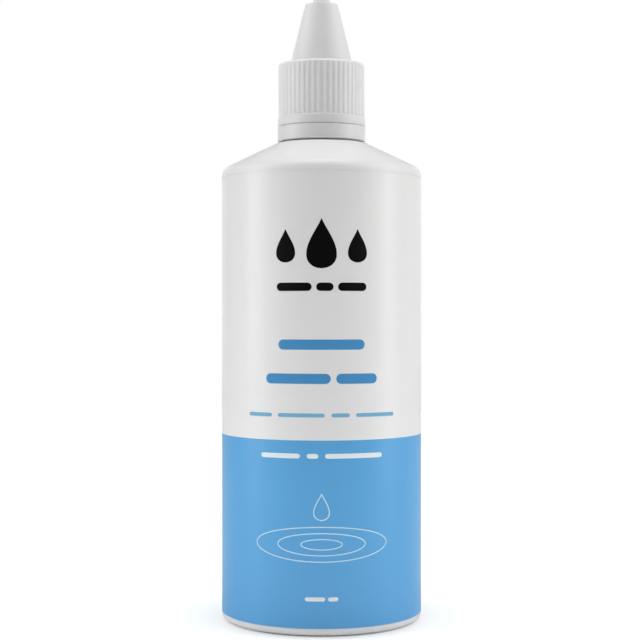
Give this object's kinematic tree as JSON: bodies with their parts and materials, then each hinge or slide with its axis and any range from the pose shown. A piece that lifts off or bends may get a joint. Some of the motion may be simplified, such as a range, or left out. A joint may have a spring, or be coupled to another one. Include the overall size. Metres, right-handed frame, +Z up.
{
  "type": "contact lens solution bottle",
  "caption": "Round plastic squeeze bottle with sloping shoulder, ribbed screw cap with tapering cone, tamper band, pouring nozzle and wrap label.",
  "frame": {"origin": "middle of the circle that the bottle stands on", "axes": "+Z up along the bottle's axis, -Y towards the printed front, +X to the right seen from the front"},
  "size_m": [0.061, 0.061, 0.189],
  "materials": {
    "bottle_hdpe": "white blow-moulded polyethylene, satin",
    "nozzle_ldpe": "natural white soft polyethylene, satin",
    "cap_pp": "white moulded polypropylene, satin",
    "band_pp": "white moulded polypropylene, satin",
    "label_film": "white and pale blue printed film, semi-matt",
    "saline": "clear colourless liquid"
  },
  "bodies": {
    "filled_bottle": {"bottle": "bottle_hdpe", "nozzle_insert": "nozzle_ldpe", "wrap_label": "label_film", "saline_solution": "saline"},
    "band": {"tamper_band": "band_pp"},
    "cap": {"screw_cap": "cap_pp"}
  },
  "joints": [
    {"name": "cap_turn", "type": "hinge", "parent": "filled_bottle", "child": "band", "pos_m": [0, 0, 0.15], "axis": [0, 0, 1], "range_deg": [0, 540]},
    {"name": "cap_climb", "type": "slide", "parent": "band", "child": "cap", "axis": [0, 0, 1], "range_m": [0, 0.00476]}
  ],
  "couplings": [
    {"joint": "cap_climb", "follows": "cap_turn", "m_per_rad": 0.00050532}
  ]
}
